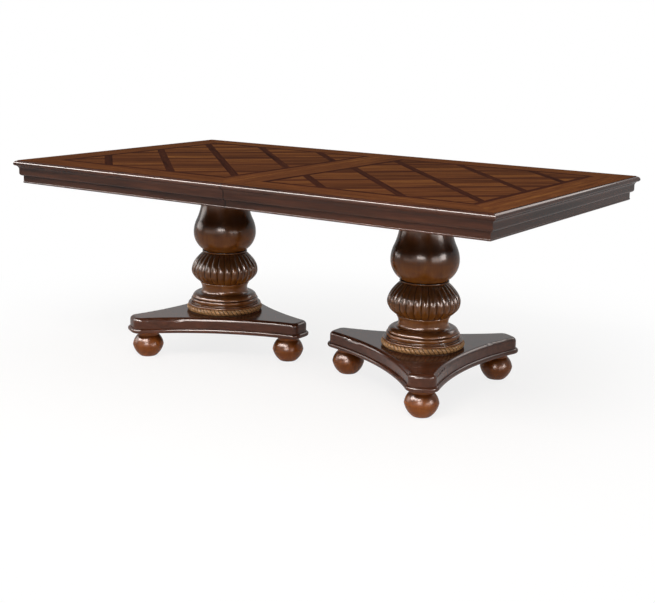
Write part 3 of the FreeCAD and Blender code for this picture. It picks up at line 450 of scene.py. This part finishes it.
def arc(start, stop, rise):
    """Points from one point up to the next on a circle whose middle stands off the chord by the rise.

    The half angle of the circle's part is 2 * atan(2 * rise / chord), and its radius is
    chord / (2 * sin(half angle)).
    """
    if not rise:
        return np.array([start])
    along = np.subtract(stop, start)
    chord = np.hypot(*along)
    along /= chord
    outward = np.array([along[1], -along[0]])
    half = 2 * math.atan(2 * rise / chord)
    radius = chord / 2 / math.sin(half)
    turn = half * np.linspace(-1, 1, ARC_STEPS, endpoint=False)[:, None]
    middle = np.add(start, stop) / 2
    return middle + radius * (np.sin(turn) * along + (np.cos(turn) - math.cos(half)) * outward)


def socle(name, box, material):
    """Socle: the section of runs and arcs turned round the column's axis, closed by its bore.

    Between two points of the section the painted shade goes evenly from one share to the other, and is then
    squared.
    """
    section, glaze = [], []
    followers = SOCLE_SECTION[1:] + SOCLE_SECTION[-1:]
    for (radius, height, rise, dark), following in zip(SOCLE_SECTION, followers):
        run = arc((radius, height), following[:2], rise)
        section.append(run)
        glaze.append(np.linspace(dark, following[3], len(run), endpoint=False) ** 2)
    bore = [(BORE, SOCLE_SECTION[-1][1]), (BORE, SOCLE_SECTION[0][1])]
    section = np.concatenate(section + [bore])
    glaze = np.concatenate(glaze + [[0, 0]])[:, None]
    around = np.ones(SOCLE_STEPS)
    height = section[:, 1:] + box[0].z + ROPE_RISE
    return closed_ring(name, box, section[:, :1] * around, height, glaze, material, sharp=40)


def rope_ring(name, box, material):
    """Rope ring: a half-round band whose radius swells and sinks along strands that lean as they rise.

    With v the turn round the half-round, the phase is strands / 2 * angle + lean * v. The band sinks by the
    groove depth times an even power of the phase's cosine, which makes one groove in each half turn of the
    phase, and times the root of the cosine of v, which lets the grooves run out at the band's edges.
    """
    low, high = box[0].z, box[1].z
    outer = (box[1].x - box[0].x) / 2
    columns = ROPE_STRANDS * ROPE_STEPS_PER_STRAND
    angle = np.linspace(0, 2 * math.pi, columns, endpoint=False)
    turn = np.linspace(-math.pi / 2, math.pi / 2, ROPE_LEVELS)[:, None]
    groove = np.cos(ROPE_STRANDS / 2 * angle + ROPE_LEAN * turn) ** ROPE_GROOVE_POWER
    carved = ROPE_RADIUS - ROPE_GROOVE * groove * np.cos(turn) ** 0.5
    rope = outer - ROPE_RADIUS + carved * np.cos(turn)
    level = (low + ROPE_PLINTH + high) / 2 + carved * np.sin(turn)
    plain = np.ones((1, columns))
    inside, plinth = plain * ROPE_INNER_RADIUS, plain * (outer - ROPE_PLINTH_INSET)
    radius = np.concatenate([inside, plinth, plinth, rope, inside])
    height = np.concatenate([plain * low, plain * low, plain * (low + ROPE_PLINTH), level, plain * high])
    # Painted shade in the grooves between strands and on the plinth under the half-round
    glaze = np.concatenate([plain, plain, plain, groove, 0 * plain])
    return closed_ring(name, box, radius, height, glaze, material, sharp=50)


# Veneers

def trim(corners, point, normal):
    """Part of a convex outline that lies behind a line through a point."""
    kept = []
    for first, second in zip(corners, corners[1:] + corners[:1]):
        before, after = [np.dot(np.subtract(corner, point), normal) for corner in (first, second)]
        if before <= 0:
            kept.append(tuple(first))
        if before * after < 0:
            kept.append(tuple(np.add(first, np.subtract(second, first) * before / (before - after))))
    return kept


def trim_to_field(corners, field):
    """Part of a convex outline inside the field's rectangle: low x, high x and half width."""
    low, high, half = field
    sides = (((low, 0), (-1, 0)), ((high, 0), (1, 0)), ((0, half), (0, 1)), ((0, -half), (0, -1)))
    for point, normal in sides:
        corners = trim(corners, point, normal) if len(corners) > 2 else []
    return corners


def along_and_across(direction):
    """Two unit vectors in the plane of the top: along a direction, and a quarter turn on from it."""
    along = np.array([math.cos(direction), math.sin(direction)])
    return along, np.array([-along[1], along[0]])


def band_outline(middle, offset, direction, start, stop):
    """Outline of a band: runs along a direction, at an offset across it from the field's middle."""
    along, across = along_and_across(direction)
    half = BAND_WIDTH / 2
    ends = ((start, -half), (stop, -half), (stop, half), (start, half))
    return [tuple(np.array(middle) + along * run + across * (offset + side)) for run, side in ends]


def leaves(name, outlines, low, high, material):
    """Flat veneer leaves: each an upright prism on its outline, with grain coordinates and a tone of its own.

    An outline comes with the direction of its grain and its tone. The coordinates lie along and across the
    grain, in metres, and are shifted from leaf to leaf so that no two leaves show the same figure.
    """
    points, faces, grain, tones = [], [], [], []
    base = 0
    for number, (corners, direction, tone) in enumerate(outlines):
        flat = np.array(corners)
        count = len(flat)
        rim = np.arange(count)
        following = (rim + 1) % count
        points += [np.column_stack([flat, np.full(count, level)]) for level in (low, high)]
        faces += [(base + rim[::-1]).tolist(), (base + count + rim).tolist()]
        faces += (base + np.column_stack([rim, following, count + following, count + rim])).tolist()
        along, across = along_and_across(direction)
        figure = np.column_stack([flat @ along, flat @ across]) + np.multiply(LEAF_SHIFT, number)
        grain += [figure, figure]
        tones += [tone] * (2 * count)
        base += 2 * count
    made = new_piece(name, np.concatenate(points).tolist(), faces, material)
    mesh = made.data
    corner = np.empty(len(mesh.loops), dtype=np.int32)
    mesh.loops.foreach_get("vertex_index", corner)
    layer = mesh.uv_layers.new(name="grain")
    layer.data.foreach_set("uv", np.concatenate(grain)[corner].ravel())
    mesh.attributes.new("tone", "FLOAT", "POINT").data.foreach_set("value", tones)
    return made


def leaf_tone(kind, number):
    """Repeatable tone of a leaf, spread evenly about its kind's: number times the golden share, wrapped."""
    middle, swing = LEAF_TONES[kind]
    return middle + swing * (2 * ((number * GOLDEN_SHARE + TONE_START) % 1) - 1)


def rectangle(left, right, half):
    """Corners of a rectangle, anticlockwise from the front left."""
    return [(left, -half), (right, -half), (right, half), (left, half)]


def mitred_strips(kind, outer, inner):
    """Four mitred strips between two rectangles, each with its grain along it."""
    made = []
    for number in range(4):
        following = (number + 1) % 4
        corners = [outer[number], outer[following], inner[following], inner[number]]
        made.append((corners, (number % 2) * math.pi / 2, leaf_tone(kind, number)))
    return made


def lattice_bands(field):
    """Bands of the lattice: whole ones that fall, and short ones that rise between them.

    The bands of each family lie pitch / sqrt(2) apart, counted from the field's middle.
    """
    middle = ((field[0] + field[1]) / 2, 0.0)
    step = LATTICE_PITCH / math.sqrt(2)
    half = BAND_WIDTH / 2
    made = []
    for row in range(-LATTICE_REACH, LATTICE_REACH + 1):
        falling = band_outline(middle, row * step, -DIAGONAL, -BAND_REACH, BAND_REACH)
        made.append((trim_to_field(falling, field), -DIAGONAL, leaf_tone("falling band", row)))
        for column in range(-LATTICE_REACH, LATTICE_REACH):
            start, stop = column * step + half, (column + 1) * step - half
            rising = band_outline(middle, row * step, DIAGONAL, start, stop)
            tone = leaf_tone("rising band", row + TONE_STRIDE * column)
            made.append((trim_to_field(rising, field), DIAGONAL, tone))
    return [leaf for leaf in made if len(leaf[0]) > 2]


def cell_strips(field, shift):
    """Diamond cells between the bands: strips side by side, each ending in the dark line of its joint.

    A cell reaches from its middle to its tips by half the pitch less a band's width over sqrt(2). The strips
    lie parallel to its front right side. At a from that side towards the back left one, measured along the
    table, a line runs from (-a, a - reach) to (reach - a, a), seen from the cell's middle.
    """
    middle = (field[0] + field[1]) / 2
    reach = LATTICE_PITCH / 2 - BAND_WIDTH / math.sqrt(2)
    span = range(-LATTICE_REACH, LATTICE_REACH)
    made = []
    for first, second, strip in itertools.product(span, span, range(STRIPS_PER_CELL)):
        x = middle + (first + second + 1) * LATTICE_PITCH / 2
        y = (first - second) * LATTICE_PITCH / 2
        near, far = [reach * end / STRIPS_PER_CELL for end in (strip, strip + 1)]
        joint = far - JOINT_WIDTH / math.sqrt(2)
        plain = leaf_tone("cell", len(made) + shift)
        for start, stop, tone in ((near, joint, plain), (joint, far, JOINT_TONE)):
            corners = trim_to_field([(x - start, y - reach + start), (x + reach - start, y + start),
                                     (x + reach - stop, y + stop), (x - stop, y - reach + stop)], field)
            if len(corners) > 2:
                made.append((corners, DIAGONAL, tone))
    return made


def lay_veneers(side, shift):
    """Border, string lines, bands and cells of one half of the top."""
    border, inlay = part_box(f"{side}_border_veneer"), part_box(f"{side}_dark_inlay")
    low, high = border[0].z, border[1].z
    outer = rectangle(border[0].x, border[1].x, border[1].y)
    inner = rectangle(inlay[0].x, inlay[1].x, inlay[1].y)
    field = (inlay[0].x + STRING_WIDTH, inlay[1].x - STRING_WIDTH, inlay[1].y - STRING_WIDTH)
    edge = mitred_strips("border", outer, inner)
    take_place(leaves(f"{side}_border_leaves", edge, low, high, LEAF), side, "border_veneer")
    lines = mitred_strips("string", inner, rectangle(*field)) + lattice_bands(field)
    take_place(leaves(f"{side}_string_and_bands", lines, low, high, DYED), side, "dark_inlay")
    filling = cell_strips(field, shift)
    take_place(leaves(f"{side}_cells", filling, low, high, LEAF), side, "field_veneer")


# Seam

def box_faces(low, high, base):
    """Corners and outward faces of an upright box between two corners, numbered on from a base."""
    corners = [(x, y, z) for z in (low[2], high[2]) for x, y in
               ((low[0], low[1]), (high[0], low[1]), (high[0], high[1]), (low[0], high[1]))]
    faces = [(3, 2, 1, 0), (4, 5, 6, 7), (0, 1, 5, 4), (1, 2, 6, 5), (2, 3, 7, 6), (3, 0, 4, 7)]
    return corners, [[base + place for place in face] for face in faces]


def seam_lining():
    """Lining of the seam between the halves, dark with painted shade: a thin box on the end of each piece
    that meets it.

    Each box is a little smaller than the piece's section, so that it shows only inside the seam.
    """
    points, faces = [], []
    for piece, across, upright in SEAM_PIECES:
        low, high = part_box(f"left_{piece}")
        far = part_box(f"right_{piece}")[0].x - SEAM_CLEARANCE
        corners, around = box_faces((high.x - SEAM_CLEARANCE, low.y + across, low.z + upright),
                                    (far, high.y - across, high.z - upright), len(points))
        points += corners
        faces += around
    return new_piece("left_seam_lining", points, faces, RAIL_LONG)


for side, shift in HALVES.items():
    lay_veneers(side, shift)
    bulb = melon_bulb(f"{side}_carved_bulb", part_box(f"{side}_melon_bulb"), CARVED)
    take_place(bulb, side, "melon_bulb")
    turned_socle = socle(f"{side}_turned_socle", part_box(f"{side}_socle"), SOCLE)
    take_place(turned_socle, side, "socle")
    rope = rope_ring(f"{side}_carved_rope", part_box(f"{side}_rope_ring"), ROPE)
    take_place(rope, side, "rope_ring")

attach(seam_lining(), "left_half")

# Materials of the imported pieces, by the end of their names; every other piece is steel
FINISHES = {
    "edge_moulding_front": RAIL_LONG, "edge_moulding_back": RAIL_LONG, "edge_moulding_end": RAIL_CROSS,
    "apron_front": RAIL_LONG, "apron_back": RAIL_LONG, "apron_end": RAIL_CROSS, "border_veneer": LEAF,
    "field_veneer": LEAF, "dark_inlay": DYED, "vase": TURNED, "melon_bulb": CARVED, "socle": SOCLE,
    "rope_ring": ROPE, "platform": PLATFORM, "foot_front": FEET, "foot_back": FEET, "foot_inner": FEET,
    "top_board": CORE, "corner_blocks": BEECH, "slide_rails": BEECH, "slide_middles": BEECH, "cleats": BEECH,
    "top_plate": BEECH, "alignment_pins": BEECH, "glides": NYLON,
}
for name, node in frame["nodes"].items():
    finish = next((material for ending, material in FINISHES.items() if name.endswith(ending)), STEEL)
    for place in range(len(node.data.materials)):
        node.data.materials[place] = finish

# Camera, from the fit of the photo's edges: place, turns in radians, focal length and middle row in pixels
CAMERA_PLACE = np.array([2.53155, -3.64968, 1.28440])
YAW, PITCH, ROLL = 0.600, -0.150, 0.016
FOCAL_PIXELS = 1201.19
CENTRE_ROW = 207.5
PICTURE_WIDTH, PICTURE_HEIGHT = 655, 603
SENSOR_MILLIMETRES = 36


def set_camera():
    """Camera with the fitted place, turn and focal length; a lens shift moves the picture's middle."""
    ahead = np.array([-math.sin(YAW) * math.cos(PITCH), math.cos(YAW) * math.cos(PITCH), math.sin(PITCH)])
    right = np.cross(ahead, [0, 0, 1])
    right /= np.linalg.norm(right)
    up = np.cross(right, ahead)
    turned_right = math.cos(ROLL) * right + math.sin(ROLL) * up
    turned_up = math.cos(ROLL) * up - math.sin(ROLL) * right
    pose = np.eye(4)
    pose[:3] = np.column_stack([turned_right, turned_up, -ahead, CAMERA_PLACE])
    data = bpy.data.cameras.new("camera")
    data.sensor_width = SENSOR_MILLIMETRES
    data.lens = FOCAL_PIXELS / PICTURE_WIDTH * SENSOR_MILLIMETRES
    data.shift_y = (CENTRE_ROW - PICTURE_HEIGHT / 2) / PICTURE_WIDTH
    made = bpy.data.objects.new("camera", data)
    made.matrix_world = [list(row) for row in pose.T]
    scene.collection.objects.link(made)
    scene.camera = made


set_camera()

# Floor, light and background

FLOOR_REACH = 30
LAMP_TINT = "#fff7f2"
# Soft boxes: name, place, target, width, height, radiance, and whether it is a gleam panel
SOFT_BOXES = (
    ("key light", (0.9, -2.8, 3.5), (0.3, 0, 0.5), 2.6, 1.4, 10, False),
    ("low front gleam", (1.4, -4.4, 1.2), (1.4, 0, 0.8), 4.2, 1.1, 3, True),
    ("low left gleam", (-2.3, -4.4, 0.85), (-2.3, 0, 0.8), 3.2, 0.6, 4, True),
    ("high front gleam", (-2.6, -4.2, 4.5), (-2.6, 0, 0.9), 9.4, 2.0, 60, True),
    ("vase gleam", (1.9, -4.9, 2.3), (0, 0, 0.6), 2.4, 1.2, 44, True),
    ("right front gleam", (4.7, -1.5, 1.3), (0.4, 0, 0.5), 2.8, 1.2, 13, True),
    ("window gleam", (4.2, 0.3, 1.4), (0.4, 0, 0.5), 1.2, 1.0, 34, True),
    ("left gleam", (-4.5, -1.2, 1.5), (0, 0, 0.5), 2.5, 1.8, 9, True),
    ("back gleam", (1.4, 4.2, 3.0), (0.6, 0, 0.7), 2.6, 1.2, 5.5, True),
)


def add_soft_box(name, place, target, width, height, radiance, gleam):
    """A soft rectangular lamp that faces a target: power is radiance times area times pi.

    A gleam panel shows only in the gloss, and the other lamps only light the surfaces.
    """
    data = bpy.data.lights.new(name, "AREA")
    data.shape = "RECTANGLE"
    data.size, data.size_y, data.energy = width, height, radiance * width * height * math.pi
    data.color = linear(LAMP_TINT)[:3]
    made = bpy.data.objects.new(name, data)
    made.location = place
    aim = np.subtract(target, place)
    turn = math.atan2(-aim[0], aim[1])
    made.rotation_euler = (math.atan2(aim[2], math.hypot(aim[0], aim[1])) + math.pi / 2, 0, turn)
    made.visible_camera = False
    made.visible_diffuse, made.visible_glossy = not gleam, gleam
    scene.collection.objects.link(made)


def seen_ray(tree):
    """1 for a ray from the camera, from gloss or through glass, and 0 for a ray that only lights."""
    path = add(tree, "ShaderNodeLightPath").outputs
    seen = calculate(tree, "MAXIMUM", path["Is Camera Ray"], path["Is Glossy Ray"])
    return calculate(tree, "MAXIMUM", seen, path["Is Transmission Ray"])


def lay_floor():
    """Pale floor that keeps the shadow near the table and goes over to plain white far from it."""
    made, tree = new_material("pale studio floor")
    distance = add(tree, "ShaderNodeVectorMath", {0: own_place(tree)}, operation="LENGTH").outputs["Value"]
    paper = add(tree, "ShaderNodeBsdfDiffuse", {"Color": linear("#f4f3f1")}).outputs[0]
    white = add(tree, "ShaderNodeEmission", {"Strength": 1.0}).outputs[0]
    seen = calculate(tree, "MULTIPLY", spread(tree, distance, *FLOOR_WHITENING), seen_ray(tree))
    mixed = add(tree, "ShaderNodeMixShader", {0: seen, 1: paper, 2: white}).outputs[0]
    add(tree, "ShaderNodeOutputMaterial", {"Surface": mixed})
    corners = [(x, y, 0) for x, y in rectangle(-FLOOR_REACH, FLOOR_REACH, FLOOR_REACH)]
    floor = new_piece("studio_floor", corners, [(0, 1, 2, 3)], made)


def set_world():
    """White walls under a dim ceiling for the camera and the gloss; other rays get light from above."""
    world = bpy.data.worlds.new("studio")
    world.use_nodes = True
    tree = world.node_tree
    tree.nodes.clear()
    height = component(tree, add(tree, "ShaderNodeTexCoord").outputs["Generated"], "Z")
    walls = spread(tree, height, *STUDIO_WALLS)
    light = spread(tree, height, *STUDIO_LIGHT)
    strength = add(tree, "ShaderNodeMix", {0: seen_ray(tree), 2: light, 3: walls}).outputs[0]
    shade = add(tree, "ShaderNodeBackground", {"Color": (1, 1, 1, 1), "Strength": strength}).outputs[0]
    add(tree, "ShaderNodeOutputWorld", {"Surface": shade})
    scene.world = world


lay_floor()
set_world()
for soft_box in SOFT_BOXES:
    add_soft_box(*soft_box)
scene.view_settings.view_transform = "Standard"
